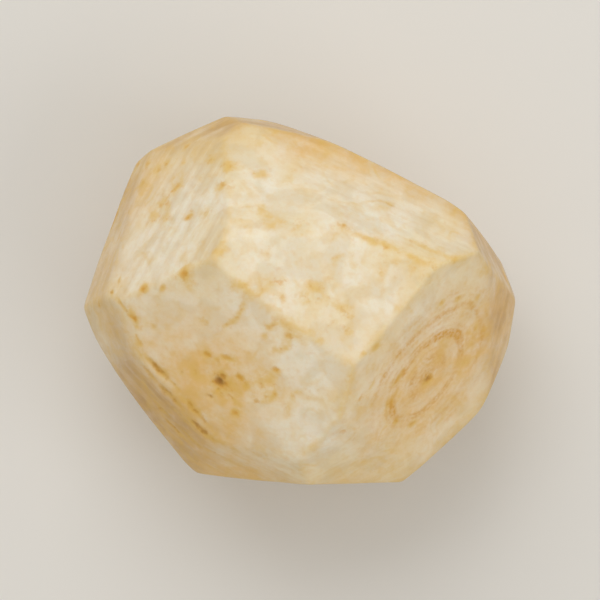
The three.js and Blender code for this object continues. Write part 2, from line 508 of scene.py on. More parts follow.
def thread(x, y, bend, start, stop, width):
    """exp(-((r - bend) / width)^2) on the upper surface, where r is the distance from x, y as seen from
    above; the ends of the arc fade out over THREAD_END degrees."""
    from_centre = smooth[:, :2] - (x, y)
    off_line = np.hypot(*from_centre.T) - bend
    turned = (np.degrees(np.arctan2(from_centre[:, 1], from_centre[:, 0])) - start) % 360
    shown = ease(turned, 0, THREAD_END) * (1 - ease(turned, stop - start - THREAD_END, stop - start))
    return np.where(smooth[:, 2] > 0, shown * np.exp(-(off_line / width) ** 2), 0)


print("the top of the root is at", on_top(0, 0).round(1), "mm from the middle")

# %% Lay the placed marks
ochre, brown = np.zeros(len(rays)), np.zeros(len(rays))
for x, y, bend, start, stop, width, ochre_part in TOP_THREADS:
    ochre = np.maximum(ochre, ochre_part * thread(x, y, bend, start, stop, width))
for x, y, length, width, azimuth, ochre_part, brown_part in TOP_MARKS:
    shape = cloud(on_top(x, y), length, width, azimuth)
    ochre = np.maximum(ochre, ochre_part * shape)
    brown = np.maximum(brown, brown_part * shape)
print("placed marks colour", round(100 * float(np.mean(ochre > 0.1))), "% of the surface")

# %% Strew the hidden marks
# How many marks are strewn below, and the highest sine of elevation that one may have.
HIDDEN_MARKS = 110
HIGHEST_HIDDEN = 0.1
MARK_SEED = 23
# Half width of a mark in mm, the least and what chance may add, and the most that it may be drawn out.
MARK_WIDTH = (0.6, 1.2)
MARK_STRETCH = 2.6
# Length and width of a halo, as multiples of the mark's half width.
HALO = (2.8, 2.1)
# The least and the most ochre in a mark and in its halo, and the strengths of brown with their odds.
MARK_OCHRE = (0.25, 0.8)
HALO_OCHRE = (0.15, 0.45)
PIT_CHOICE = [0, 0.25, 1.0]
PIT_ODDS = [0.55, 0.3, 0.15]
# Where the root end lies, as seen from the middle, and how much larger a mark is whose direction makes
# an angle with it of which the cosine is above NEAR_ROOT_END.
ROOT_END = direction(205, -52)
NEAR_ROOT_END = 0.6
ROOT_END_GROWTH = 1.25

draw = np.random.default_rng(MARK_SEED)
strewn_azimuths = draw.uniform(0, 360, HIDDEN_MARKS)
strewn_heights = draw.uniform(-1, HIGHEST_HIDDEN, HIDDEN_MARKS)
for azimuth, height in zip(strewn_azimuths, strewn_heights):
    core = on_side(azimuth, math.degrees(math.asin(height)))
    width = MARK_WIDTH[0] + MARK_WIDTH[1] * draw.random() ** 2
    if core @ ROOT_END > NEAR_ROOT_END * np.linalg.norm(core):
        width *= ROOT_END_GROWTH
    shape = cloud(core, width * draw.uniform(1, MARK_STRETCH), width, draw.uniform(0, 180))
    halo = cloud(core, HALO[0] * width, HALO[1] * width, draw.uniform(0, 180))
    ochre = np.maximum(ochre, draw.uniform(*MARK_OCHRE) * shape + draw.uniform(*HALO_OCHRE) * halo)
    brown = np.maximum(brown, draw.choice(PIT_CHOICE, p=PIT_ODDS) * shape)
print(HIDDEN_MARKS, "more marks;", round(100 * float(np.mean(ochre > 0.1))), "% of the surface is coloured")

# %% [markdown]
# ## Growth rings
#
# A side root or a shoot is built in rings, like a tree. Where the knife crosses one squarely, the facet
# shows a target: a dark core, then ochre lines every few millimetres, stretched into ovals because
# the root leaves at a slant. What the material needs is one number at each point, the distance from the
# nearest target's core, measured along its long side: sqrt(a^2 + (stretch b)^2) / size. The lines
# themselves are drawn by the material, much finer than the mesh. No target is even all round, so each
# shows less on one side, and its outer rings die out towards one end.

# %% The targets
# Each target: name, azimuth and elevation from the middle, size, stretch, azimuth of its long side,
# strength.
TARGETS = [
    ("great ring scar", -30.8, 30.1, 1.0, 1.33, 53, 1.0),
    ("back scar", 143, -12, 0.85, 1.3, 60, 0.9),
    ("front scar", -98, -20, 0.62, 1.4, 175, 0.75),
    ("right scar", 8, -26, 0.55, 1.5, 95, 0.7),
    ("back right scar", 66, -34, 0.7, 1.25, 150, 0.8),
    ("root end", 205, -52, 1.25, 1.15, 110, 0.8),
]
# In mm from the core of a target of size 1: how far the rings reach, where they fade out, where the
# outer ones begin, and a distance at which there is no ring.
RING_REACH = 28.0
FADE = (21.0, 29.0)
OUTER_RINGS = (14.5, 18.0)
NO_RING = 60.0
# How much is lost of the outer rings at one end, and of all rings on one side, and the cosines of the
# angles over which each loss sets in.
LOPSIDED = 0.75
BLIND_END = (0.3, 0.85)
FAINT = 0.45
FAINT_SIDE = (0.2, 0.9)
# Cosines of the angle from a core, and from the root end, over which a target, and the labyrinth of
# vessels, come in.
SAME_SIDE = (0.35, 0.75)
LABYRINTH_SPREAD = (0.0, 0.9)
print(len(TARGETS), "targets, the first of them the", TARGETS[0][0])

# %% Measure the distance to the nearest core
ring_radius = np.full(len(rays), np.inf)
ring_strength = np.zeros(len(rays))
for _, azimuth, elevation, size, stretch, lie, strength in TARGETS:
    core = on_side(azimuth, elevation)
    axis = normals[own[np.argmax(rays @ core)]]
    offset = smooth - core
    offset -= (offset @ axis)[:, None] * axis
    long_side = direction(lie, 0) - (direction(lie, 0) @ axis) * axis
    long_side /= np.linalg.norm(long_side)
    a = offset @ long_side
    b = offset @ np.cross(axis, long_side)
    in_sight = ease(rays @ (core / np.linalg.norm(core)), *SAME_SIDE)
    here = np.hypot(a, stretch * b) / size + NO_RING * (1 - in_sight)
    closer = here < ring_radius
    ring_radius = np.where(closer, here, ring_radius)
    far = size * np.maximum(here, 1.0)
    blind_end = ease(-a / far, *BLIND_END) * ease(here, *OUTER_RINGS)
    faint_side = ease(-stretch * b / far, *FAINT_SIDE)
    shown = (1 - ease(here, *FADE)) * (1 - LOPSIDED * blind_end) * (1 - FAINT * faint_side)
    ring_strength = np.where(closer, strength * shown, ring_strength)
ring_radius = np.minimum(ring_radius, NO_RING)
labyrinth = ease(rays @ ROOT_END, *LABYRINTH_SPREAD)
print("rings reach", round(100 * float(np.mean(ring_strength > 0.1))), "% of the surface")

# %% [markdown]
# ## Warm and pale patches, with painted shade and painted highlight
#
# The flesh isn't one colour all over. It is warm tan where the knife stayed near the skin, on the steep
# sides above all, and in broad patches round the targets. On the steep sides, round the rim and on the
# lower facets this tan is partly painted shade, darker and warmer where the sides lie in shade. Elsewhere
# it is nearly white, as flesh is that lay deep, and a pale patch keeps the tan away; some pale patches are
# painted highlight, lighter where a glint or a brighter light would fall. Each patch is a wide cloud on the
# surface, exp(-(d / width)^2) at the distance d.
#
# Where the knife hardly cleared the skin the flesh is browner still. On the steep cuts round the rim this
# brown is also painted shade, darker where the sides lie in shade. That belongs to a whole cut, so each cut
# has one strength. At a ridge it passes from one cut to the next over a millimetre or so: each cut counts
# by exp(-(how much farther it is than the nearest) / SKIN_EDGE).

# %% The patches
# Each patch: azimuth and elevation from the middle, width in mm, strength.
# Warm patches are partly the flesh's own tan, round the targets, and partly painted shade, on the rims and
# the lower facets.
WARM_AND_SHADED_PATCHES = [
    (-32, 30, 23, 0.88), (8, 34, 8, 0.15), (-135, 20, 20, 1.0), (-140, 44, 20, 0.95),
    (-122, 36, 15, 0.8), (-172, 22, 10, 0.5), (-112, 10, 17, 1.0), (-65, 15, 14, 0.4),
    (-4, 10, 15, 0.95), (-18, 20, 11, 1.0), (118, 22, 14, 0.2), (165, 15, 14, 0.5), (26, 14, 13, 1.0),
    (52, 24, 11, 0.95), (88, 30, 9, 0.95), (146, 17, 10, 0.9), (70, 31, 9, 0.9), (72, 8, 15, 0.6),
    (143, -12, 19, 0.7), (-98, -22, 15, 0.6), (10, -30, 16, 0.5), (66, -34, 17, 0.6),
    (205, -52, 28, 0.8), (-55, -40, 14, 0.5),
]
# Pale patches are partly pale deep flesh and partly painted highlight and painted reflection, lighter where
# a glint or a brighter light falls.
PALE_AND_HIGHLIGHT_PATCHES = [
    (141, 66, 17, 1.0), (126, 55, 12, 1.0), (50, 54, 16, 0.9), (21, 43, 9, 0.9), (-80, 70, 10, 0.8),
    (-3, 63, 8, 1.0), (150, 36, 18, 1.0), (-31, 67, 8, 0.5), (-88, 42, 11, 1.0), (120, 42, 12, 0.9),
    (95, 62, 8, 0.6), (-60, -10, 14, 0.6), (110, -30, 15, 0.6), (-20, -60, 16, 0.7), (18, 34, 7, 0.9),
    (-42, 53, 11, 0.35), (-11, 52, 10, 0.5), (68, 47, 10, 0.6),
]
# The Z of a normal below which a cut starts to count as steep, and the warmth of an upright cut: tan near
# the skin, and partly painted shade on the steep sides.
STEEP = 0.6
STEEP_WARMTH_AND_SHADE = 0.45
# A pale patch counts as this many mm deeper, and takes away this share of the warmth. Where a pale patch is
# painted highlight, this whiter flesh is painted light.
PALE_DEPTH = 6.0
PALE_RELIEF = 0.7
print(len(WARM_AND_SHADED_PATCHES), "warm patches and", len(PALE_AND_HIGHLIGHT_PATCHES), "pale ones")


# %% Spread the patches
def spread(patches):
    """The strongest of the patches at each point."""
    total = np.zeros(len(rays))
    for azimuth, elevation, width, strength in patches:
        offset = smooth - on_side(azimuth, elevation)
        total = np.maximum(total, strength * np.exp(-np.sum(offset ** 2, axis=1) / width ** 2))
    return total


# Steep cuts are given tan that is partly painted shade, darker and warmer where the sides lie in shade.
steep = 1 - ease(own_normal[:, 2], 0.0, STEEP)
# The pale patches, partly painted highlight, make the flesh there whiter and less tan.
pale = spread(PALE_AND_HIGHLIGHT_PATCHES)
warmth_and_shade = np.maximum(STEEP_WARMTH_AND_SHADE * steep, spread(WARM_AND_SHADED_PATCHES)) * (1 - PALE_RELIEF * pale)
depth += PALE_DEPTH * pale
print("mean warmth", round(float(warmth_and_shade.mean()), 2))

# %% Leave some cuts near the skin
# Cuts that hardly cleared the skin, and rim cuts given painted shade: azimuth and elevation that the cut
# faces, strength. Other steep cuts get a strength at random, which on them is partly painted shade.
NEAR_SKIN_AND_SHADE_CUTS = [
    (-135, 25, 0.72), (-130, 2, 0.85), (-146, -6, 0.62), (-92, -2, 0.5), (-154, 25, 0.3),
    (-13, 18, 0.72), (-7, -6, 0.7), (24, 8, 0.95), (-26, -4, 0.6), (117, 20, 0.78), (112, -10, 0.5),
    (157, 18, 0.42), (78, 6, 0.85), (92, -8, 0.6), (64, -2, 0.66), (50, -4, 0.66), (-48, 0, 0.6),
    (-134, -22, 0.5), (-178, -28, 0.36),
]
LESS_SKIN = (0.15, 0.5)
SKIN_SEED = 37
# In mm: how softly one cut's tone passes into the next one's.
SKIN_EDGE = 0.9
# The Z of a normal below which a cut starts to have skin on it, and painted shade.
STEEP_SKIN_AND_SHADE = 0.45

# Steep cuts get brown that is partly painted shade round the rim.
cut_skin_and_shade = np.random.default_rng(SKIN_SEED).uniform(*LESS_SKIN, len(normals))
cut_skin_and_shade *= 1 - ease(normals[:, 2], 0.0, STEEP_SKIN_AND_SHADE)
for azimuth, elevation, strength in NEAR_SKIN_AND_SHADE_CUTS:
    cut_skin_and_shade[np.argmax(normals @ direction(azimuth, elevation))] = strength
counts = np.exp(-np.minimum((hits - nearest[:, None]) / SKIN_EDGE, NOTHING))
near_skin_and_shade = counts @ cut_skin_and_shade / counts.sum(axis=1)
print(len(NEAR_SKIN_AND_SHADE_CUTS), "cuts near the skin by choice; the mean over the surface is",
      round(float(near_skin_and_shade.mean()), 2))

# %% [markdown]
# ## Where the knife shows
#
# A keen stroke leaves almost nothing, and a dragged one leaves streaks. A few cuts have a streakiness of
# their own, and the others get one at random.

# %% Choose the streaky cuts
# Each one: azimuth and elevation that the cut faces, streakiness.
STREAKY_CUTS = [
    (145, 39, 0.7), (-135, 25, 0.9), (-135, 55, 0.2), (-118, 61, 0.15), (20, 85, 0.1), (58, 65, 0.25),
    (67, 40, 0.5), (-37, 37, 0.2), (-7, -6, 1.0), (-154, 25, 0.2), (117, 20, 0.8),
]
PLAIN_STREAKS = (0.2, 0.7)
STREAK_SEED = 31
# Streaks and chatter set in between these distances from a ridge, in mm.
RIDGE_CLEARANCE = (0.3, 2.5)

streakiness = np.random.default_rng(STREAK_SEED).uniform(*PLAIN_STREAKS, len(normals))
for azimuth, elevation, strength in STREAKY_CUTS:
    streakiness[np.argmax(normals @ direction(azimuth, elevation))] = strength
clear_of_ridge = ease(ridge_distance, *RIDGE_CLEARANCE)
streaky = streakiness[own] * clear_of_ridge
print("mean streakiness", round(float(streaky.mean()), 2))

# %% [markdown]
# ## Relief
#
# Nothing the knife leaves is quite smooth. The hand wavers (slow hollows, 0.16 mm), the blade chatters
# (ripples across the stroke) and drags nicks along (grooves along the stroke, under 0.1 mm). The pits
# are real holes, up to 0.6 mm deep, and ochre stains are sunk a little, because that tissue dries first.
# All of it is added along the ray, and it fades out on the base.

# %% Add the relief
# Depths in mm.
WAVER = 0.16
CHATTER = 0.045
GROOVE = 0.06
PIT = 0.6
PIT_STEEPNESS = 1.5
STAIN_DIP = 0.12
# Sizes in mm: of a hollow, and of a ripple and a groove along and across the stroke.
WAVER_SIZE = 15.0
CHATTER_SIZE = (3.4, 14.0)
GROOVE_SIZE = (26.0, 1.9)
# How far the noise moves on from one cut to the next, in cells, so that no two cuts share a pattern.
CHATTER_STEP = 5.1
GROOVE_STEP = 7.3
# Height above the base, in mm, over which the relief sets in.
SEAT_RISE = (0.05, 2.0)


def facet_noise(size, step, seed):
    """Soft noise at (along / size along, across / size across, cut number x step)."""
    return soft_noise(np.stack([along / size[0], across / size[1], own * step], axis=1), 1.0, seed)


relief = WAVER * soft_noise(smooth, WAVER_SIZE, seed=5)
relief += CHATTER * clear_of_ridge * facet_noise(CHATTER_SIZE, CHATTER_STEP, seed=7)
relief += GROOVE * streaky * facet_noise(GROOVE_SIZE, GROOVE_STEP, seed=9)
relief -= PIT * np.minimum(brown, 1.0) ** PIT_STEEPNESS + STAIN_DIP * ochre
relief *= ease(smooth[:, 2] - smooth[:, 2].min(), *SEAT_RISE)
surface = (smooth + rays * relief[:, None] + MIDDLE) * MM
print("relief from", round(relief.min(), 2), "to", round(relief.max(), 2), "mm")

# %% [markdown]
# ## The mesh
#
# The points and quads go into the mesh as whole arrays. Each map becomes an attribute that the material
# can read by name. The stroke's own two coordinates become a UV map, so that streaks follow the knife
# on every facet: U runs along the stroke and V along the blade, in millimetres, and each quad takes its
# coordinates from one cut only.

# %% Put the arrays into a mesh
def closed_mesh(name, points, faces):
    """A mesh of quads from whole arrays, smooth shaded."""
    mesh = bpy.data.meshes.new(name)
    mesh.vertices.add(len(points))
    mesh.vertices.foreach_set("co", points.astype(np.float32).ravel())
    mesh.loops.add(faces.size)
    mesh.loops.foreach_set("vertex_index", faces.astype(np.int32).ravel())
    mesh.polygons.add(len(faces))
    mesh.polygons.foreach_set("loop_start", np.arange(0, faces.size, 4, dtype=np.int32))
    mesh.polygons.foreach_set("use_smooth", np.ones(len(faces), dtype=bool))
    mesh.update(calc_edges=True)
    mesh.validate()
    return mesh


mesh = closed_mesh("celeriac_flesh_surface", surface, quads)
print("mesh with", len(mesh.vertices), "points and", len(mesh.polygons), "quads")

# %% Give it the maps
# The ochre of a ridge fades over this many mm, and grows with the turn between its cuts, given as a sine.
RIDGE_GLOW = 2.2
RIDGE_TURN = (0.1, 0.6)

maps = {
    "ring_radius": ring_radius,
    "ring_strength": ring_strength,
    "labyrinth": labyrinth,
    "ochre_stain": ochre,
    "brown_stain": brown,
    "ridge": np.exp(-(ridge_distance / RIDGE_GLOW) ** 2) * ease(ridge_turn, *RIDGE_TURN),
    "depth": depth,
    "warmth_and_shade": warmth_and_shade,
    "near_skin_and_shade": near_skin_and_shade,
    "streaky": streaky,
}
for name, values in maps.items():
    attribute = mesh.attributes.new(name, "FLOAT", "POINT")
    attribute.data.foreach_set("value", values.astype(np.float32))
print("maps:", ", ".join(maps))

# %% Lay out the strokes
# The V of one cut starts this many mm after the last one's, so that no two cuts share streaks.
CUT_SPACING = 100.0

quad_cut = own[quads[:, 0]]
corners = smooth[quads]
u = np.sum(corners * stroke[quad_cut][:, None], axis=2)
v = np.sum(corners * blade[quad_cut][:, None], axis=2) + CUT_SPACING * quad_cut[:, None]
strokes = mesh.uv_layers.new(name="knife_strokes")
strokes.data.foreach_set("uv", np.stack([u, v], axis=2).astype(np.float32).ravel())
print("U runs from", round(float(u.min())), "to", round(float(u.max())), "mm")

# %% Place the piece in the frame
flesh = bpy.data.objects.new("celeriac_flesh_surface", mesh)
bpy.context.scene.collection.objects.link(flesh)
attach(flesh, "root")
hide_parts("peeled_celeriac")
print(flesh.name, "stands in for the faceted solid")

# %% [markdown]
# ## Adding nodes
#
# A material is a small network of nodes. One function adds a node: its settings are its own properties,
# and each input is either a number, a colour, or another node that feeds it.

# %% Node and colour helpers
def linear(hex_code):
    """An sRGB hex colour as linear red, green, blue and alpha: ((c + 0.055) / 1.055)^2.4."""
    srgb = np.array([int(hex_code[i:i + 2], 16) for i in (1, 3, 5)]) / 255
    low_part, high_part = srgb / 12.92, ((srgb + 0.055) / 1.055) ** 2.4
    return (*np.where(srgb <= 0.04045, low_part, high_part).tolist(), 1.0)


def add(tree, kind, settings=(), inputs=(), stops=()):
    """Adds a node and returns it. stops are a colour ramp's (place, colour) pairs."""
    node = tree.nodes.new(kind)
    for key, value in dict(settings).items():
        setattr(node, key, value)
    for key, value in dict(inputs).items():
        if isinstance(value, bpy.types.Node):
            value = value.outputs[0]
        if isinstance(value, bpy.types.NodeSocket):
            tree.links.new(value, node.inputs[key])
        else:
            node.inputs[key].default_value = value
    for count, (place, shade) in enumerate(stops):
        element = node.color_ramp.elements[count] if count < 2 else node.color_ramp.elements.new(place)
        element.position = place
        element.color = shade
    return node


print("middle grey is", round(linear("#808080")[0], 3), "in linear light")

# %% [markdown]
# ## The material: raw celeriac flesh
#
# Raw celeriac is a wet, fine-grained root. Light goes a few millimetres in and comes out again, which
# gives soft edges and no hard shadows, so the shader has some subsurface. Its juice lies on it as a thin
# film of water, which is a clear coat with water's IOR of 1.33. The colours run from nearly white deep
# in the root to warm cream near the skin, and ochre wherever vessels run.
#
# Its patterns could be painted by hand, but then they would be no finer than the brush. Here each one is
# worked out from a few noises, at any fineness. All but the knife's streaks are carved out of one block
# of space, in Object coordinates times 1000, which are millimetres. A noise with blobs d mm wide has the
# scale 1 / d.

# %% Start the material
# Each noise: width of its blobs in mm, detail, roughness, distortion. The cells of real flesh are too
# fine to show, so the grain is drawn as coarse as it has to be to show.
NOISES = {
    "grain": (0.9, 4.0, 0.65, 0.0),
    "ring_dots": (0.9, 2.0, 0.5, 0.0),
    "flecks": (1.7, 3.0, 0.5, 0.0),
    "mottles": (3.4, 2.0, 0.5, 0.3),
    "blotches": (4.5, 3.0, 0.55, 0.0),
    "ring_patches": (5.0, 2.0, 0.5, 0.0),
    "soaked": (7.5, 3.0, 0.45, 0.4),
    "wisp_patches": (8.0, 2.0, 0.5, 0.0),
    "skin": (10.0, 5.0, 0.6, 0.0),
    "clouds": (11.0, 4.0, 0.5, 0.0),
    "vessels": (13.0, 2.5, 0.4, 0.0),
}

material = bpy.data.materials.new("raw_celeriac_flesh")
material.use_nodes = True
tree = material.node_tree
tree.nodes.clear()
read = {name: add(tree, "ShaderNodeAttribute", {"attribute_name": name}).outputs["Fac"] for name in maps}
coordinates = add(tree, "ShaderNodeTexCoord")
place = add(tree, "ShaderNodeMapping", (), {"Vector": coordinates.outputs["Object"],
                                            "Scale": (1 / MM, 1 / MM, 1 / MM)})
noise = {}
for name, (size, detail, rough, warp) in NOISES.items():
    noise[name] = add(tree, "ShaderNodeTexNoise", (), {"Vector": place, "Scale": 1 / size, "Detail": detail,
                                                       "Roughness": rough, "Distortion": warp})
print("the material reads", len(read), "maps and", len(noise), "noises")

# %% [markdown]
# ## Cloudy flesh
#
# The flesh is palest deep inside, and starch lies in it in clouds. A noise alone could mix the two colours,
# but then pale flesh would turn up anywhere. So the depth under the skin leads, and the noise only shifts
# it. The depth map also holds the pale patches, and where these are painted highlight the whiter flesh is
# painted light.

# %% Cloudy flesh
DEEP_FLESH = "#F2E9D4"
OUTER_FLESH = "#ECD9AF"
# In mm: how far a cloud shifts the depth either way, and how deep the palest flesh lies.
CLOUD_SWING = 3.5
DEEP_AT = 9.0


def cloudy_flesh(tree, clouds, depth_map):
    """Colour from outer to deep flesh, eased over a depth of 0 to DEEP_AT: depth + shift of the cloud."""
    swing = add(tree, "ShaderNodeMapRange", (), {"Value": clouds, "From Min": 0.3, "From Max": 0.7,
                                                 "To Min": -CLOUD_SWING, "To Max": CLOUD_SWING})
    deep = add(tree, "ShaderNodeMath", {"operation": "ADD"}, {0: depth_map, 1: swing})
    share = add(tree, "ShaderNodeMapRange", {"interpolation_type": "SMOOTHSTEP"},
                {"Value": deep, "From Min": 0.0, "From Max": DEEP_AT})
    return add(tree, "ShaderNodeMix", {"data_type": "RGBA"},
               {0: share, 6: linear(OUTER_FLESH), 7: linear(DEEP_FLESH)}).outputs[2]


cream = cloudy_flesh(tree, noise["clouds"], read["depth"])
print("cloudy flesh:", len(tree.nodes), "nodes so far")

# %% [markdown]
# ## Target rings
#
# The rings are old layers of growth, so their order is the same all round: a core, a tan disc, then
# ochre lines, some doubled and some faint. A sine wave would make them all alike. A colour ramp over the
# distance from the core holds each ring's own strength, a slow noise bends the rings, and finer ones
# break them into dots and patches, because vessels are cut across one by one.

# %% Target rings
# Strength of the ochre at each distance from a core, in mm: core, tan disc, and ever fainter rings.
RING_PROFILE = [
    (0.0, 0.9), (1.5, 0.78), (2.5, 0.48), (4.0, 0.40), (5.0, 0.55), (6.0, 0.75), (7.0, 0.28), (7.7, 0.12),
    (8.5, 0.34), (9.4, 0.06), (10.5, 0.15), (11.3, 0.85), (12.7, 1.00), (13.7, 0.25), (14.5, 0.45),
    (15.5, 0.05), (16.3, 0.10), (17.2, 0.40), (18.1, 0.10), (19.1, 0.80), (20.2, 0.60), (21.1, 0.05),
    (22.2, 0.34), (23.3, 0.05), (24.6, 0.50), (25.6, 0.35), (26.8, 0.10), (28.0, 0.0),
]
# In mm: how far a ring wanders either way, and how far apart the finest lines lie.
RING_WANDER = 2.4
FINE_RING = 1.6


def target_rings(tree, noise, radius_map, strength_map):
    """Ochre 0 to 1: profile(r + wander) x fine lines x patches x dots x strength."""
    wander = add(tree, "ShaderNodeMapRange", {"clamp": False},
                 {"Value": noise["clouds"], "From Min": 0.0, "From Max": 1.0,
                  "To Min": -RING_WANDER, "To Max": RING_WANDER})
    radius = add(tree, "ShaderNodeMath", {"operation": "ADD"}, {0: radius_map, 1: wander})
    share = add(tree, "ShaderNodeMath", {"operation": "DIVIDE"}, {0: radius, 1: RING_REACH})
    profile = add(tree, "ShaderNodeValToRGB", (), {"Fac": share},
                  [(r / RING_REACH, (grey, grey, grey, 1.0)) for r, grey in RING_PROFILE])
    turns = add(tree, "ShaderNodeMath", {"operation": "MULTIPLY"}, {0: radius, 1: 2 * math.pi / FINE_RING})
    wave = add(tree, "ShaderNodeMath", {"operation": "SINE"}, {0: turns})
    lines = add(tree, "ShaderNodeMapRange", (), {"Value": wave, "From Min": -0.6, "From Max": 1.0,
                                                 "To Min": 0.85, "To Max": 1.1})
    patches = add(tree, "ShaderNodeMapRange", (), {"Value": noise["ring_patches"], "From Min": 0.36,
                                                   "From Max": 0.62, "To Min": 0.35, "To Max": 1.1})
    dots = add(tree, "ShaderNodeMapRange", (), {"Value": noise["ring_dots"], "From Min": 0.4,
                                                "From Max": 0.6, "To Min": 0.6, "To Max": 1.15})
    rings = profile
    for factor in (lines, patches, dots):
        rings = add(tree, "ShaderNodeMath", {"operation": "MULTIPLY"}, {0: rings, 1: factor})
    return add(tree, "ShaderNodeMath", {"operation": "MULTIPLY", "use_clamp": True},
               {0: rings, 1: strength_map})


rings = target_rings(tree, noise, read["ring_radius"], read["ring_strength"])
print("target rings:", len(RING_PROFILE), "strengths;", len(tree.nodes), "nodes so far")

# %% [markdown]
# ## Wisps, and the labyrinth of the root end
#
# Vessels run through the flesh like a tangle of threads, faint on top and close together at the root
# end. Threads could be modelled as curves, but the level lines of a slow noise look the same: they never
# cross, they never end, and some close into loops.

# %% Wisps and the labyrinth
# How many level lines the noise is cut into, and how far from a line its ochre starts and is full.
LEVELS = 9.0
LINE_EDGE = (0.32, 0.04)


def labyrinth_lines(tree, noise, labyrinth_map):
    """Ochre 0 to 1: |frac(LEVELS n) - 0.5| eased from LINE_EDGE[0] to LINE_EDGE[1], shown in patches."""
    steps = add(tree, "ShaderNodeMath", {"operation": "MULTIPLY"}, {0: noise["vessels"], 1: LEVELS})
    phase = add(tree, "ShaderNodeMath", {"operation": "FRACT"}, {0: steps})
    centred = add(tree, "ShaderNodeMath", {"operation": "SUBTRACT"}, {0: phase, 1: 0.5})
    off_line = add(tree, "ShaderNodeMath", {"operation": "ABSOLUTE"}, {0: centred})
    line = add(tree, "ShaderNodeMapRange", {"interpolation_type": "SMOOTHSTEP"},
               {"Value": off_line, "From Min": LINE_EDGE[0], "From Max": LINE_EDGE[1]})
    wisps = add(tree, "ShaderNodeMapRange", (), {"Value": noise["wisp_patches"], "From Min": 0.5,
                                                 "From Max": 0.68, "To Min": 0.0, "To Max": 0.5})
    dense = add(tree, "ShaderNodeMapRange", (), {"Value": noise["wisp_patches"], "From Min": 0.35,
                                                 "From Max": 0.6, "To Min": 0.15, "To Max": 0.8})
    shown = add(tree, "ShaderNodeMix", (), {0: labyrinth_map, 2: wisps, 3: dense})
    return add(tree, "ShaderNodeMath", {"operation": "MULTIPLY"}, {0: line, 1: shown})


wisps = labyrinth_lines(tree, noise, read["labyrinth"])
print("wisps along", LEVELS, "levels:", len(tree.nodes), "nodes so far")

# %% [markdown]
# ## Stains with broken edges
#
# Juice soaks out of a cut vessel and dries to ochre or brown, farther along some cells than along
# others. The maps in the mesh are smooth ovals. Adding a noise to such a map before the threshold gives
# the oval a ragged edge, while its middle stays full. The same is done to the ochre along the ridges.
# Small flecks lie everywhere, and close together in a stain.

# %% Stains, pits, ridges and flecks
def broken_stain(tree, edge_noise, stain_map, break_up, start, stop):
    """0 to 1 as stain + break_up (noise - 0.5) passes from start to stop."""
    swing = add(tree, "ShaderNodeMath", {"operation": "MULTIPLY_ADD"},
                {0: edge_noise, 1: break_up, 2: -0.5 * break_up})
    raised = add(tree, "ShaderNodeMath", {"operation": "ADD"}, {0: stain_map, 1: swing})
    return add(tree, "ShaderNodeMapRange", {"interpolation_type": "SMOOTHSTEP"},
               {"Value": raised, "From Min": start, "From Max": stop})


blotches = broken_stain(tree, noise["blotches"], read["ochre_stain"], break_up=1.2, start=0.04, stop=0.66)
stain = broken_stain(tree, noise["flecks"], read["ochre_stain"], break_up=0.9, start=0.34, stop=0.95)
pit = broken_stain(tree, noise["flecks"], read["brown_stain"], break_up=0.8, start=0.2, stop=1.05)
ridge = broken_stain(tree, noise["blotches"], read["ridge"], break_up=2.0, start=0.5, stop=1.1)
fleck_dots = add(tree, "ShaderNodeMapRange", {"interpolation_type": "SMOOTHSTEP"},
                 {"Value": noise["flecks"], "From Min": 0.54, "From Max": 0.68})
fleck_ground = add(tree, "ShaderNodeMapRange", (), {"Value": read["ochre_stain"], "From Min": 0.0,
                                                    "From Max": 0.65, "To Min": 0.1, "To Max": 1.0})
flecks = add(tree, "ShaderNodeMath", {"operation": "MULTIPLY"}, {0: fleck_dots, 1: fleck_ground})
print("stains and flecks:", len(tree.nodes), "nodes so far")

# %% [markdown]
# ## Knife streaks
#
# A nick in the edge, or a crumb of skin under it, draws a line along the whole stroke. The lines have to
# follow the stroke of each cut, so they are noise on the UV map, drawn out along U. One noise gives dark
# lines where it is high and pale ones where it is low.

# %% Knife streaks
# In mm, along and across the stroke.
STREAK_LENGTH = 60.0
STREAK_WIDTH = 3.2


def knife_streaks(tree, strokes):
    """0 to 1: noise at (U / STREAK_LENGTH, V / STREAK_WIDTH), with finer lines in it."""
    drawn_out = add(tree, "ShaderNodeMapping", (),
                    {"Vector": strokes, "Scale": (1 / STREAK_LENGTH, 1 / STREAK_WIDTH, 1.0)})
    return add(tree, "ShaderNodeTexNoise", {"noise_dimensions": "2D"},
               {"Vector": drawn_out, "Scale": 1.0, "Detail": 4.0, "Roughness": 0.5})


streaks = knife_streaks(tree, add(tree, "ShaderNodeUVMap", {"uv_map": "knife_strokes"}))
dark_lines = add(tree, "ShaderNodeMapRange", (), {"Value": streaks, "From Min": 0.42, "From Max": 0.7})
dark_share = add(tree, "ShaderNodeMath", {"operation": "MULTIPLY"}, {0: dark_lines, 1: read["streaky"]})
pale_lines = add(tree, "ShaderNodeMapRange", (), {"Value": streaks, "From Min": 0.5, "From Max": 0.32})
pale_share = add(tree, "ShaderNodeMath", {"operation": "MULTIPLY"}, {0: pale_lines, 1: read["streaky"]})
print("knife streaks:", len(tree.nodes), "nodes so far")

# %% [markdown]
# ## Soaked flesh, mottles and grain
#
# Where water fills the gaps between the cells, flesh turns a little greyer and more glassy, in patches
# several millimetres wide. Mottles and grain are the same thing at smaller sizes. Three noises of
# different widths, each cut off softly, are enough, because nothing about these patches is regular.

# %% Soaked flesh, mottles and grain
soaked = add(tree, "ShaderNodeMapRange", {"interpolation_type": "SMOOTHSTEP"},
             {"Value": noise["soaked"], "From Min": 0.46, "From Max": 0.62})
mottles = add(tree, "ShaderNodeMapRange", {"interpolation_type": "SMOOTHSTEP"},
              {"Value": noise["mottles"], "From Min": 0.48, "From Max": 0.68})
grain_share = add(tree, "ShaderNodeMapRange", (), {"Value": noise["grain"], "From Min": 0.45,
                                                   "From Max": 0.75, "To Min": 0.0, "To Max": 0.35})
print("soaked flesh, mottles and grain:", len(tree.nodes), "nodes so far")
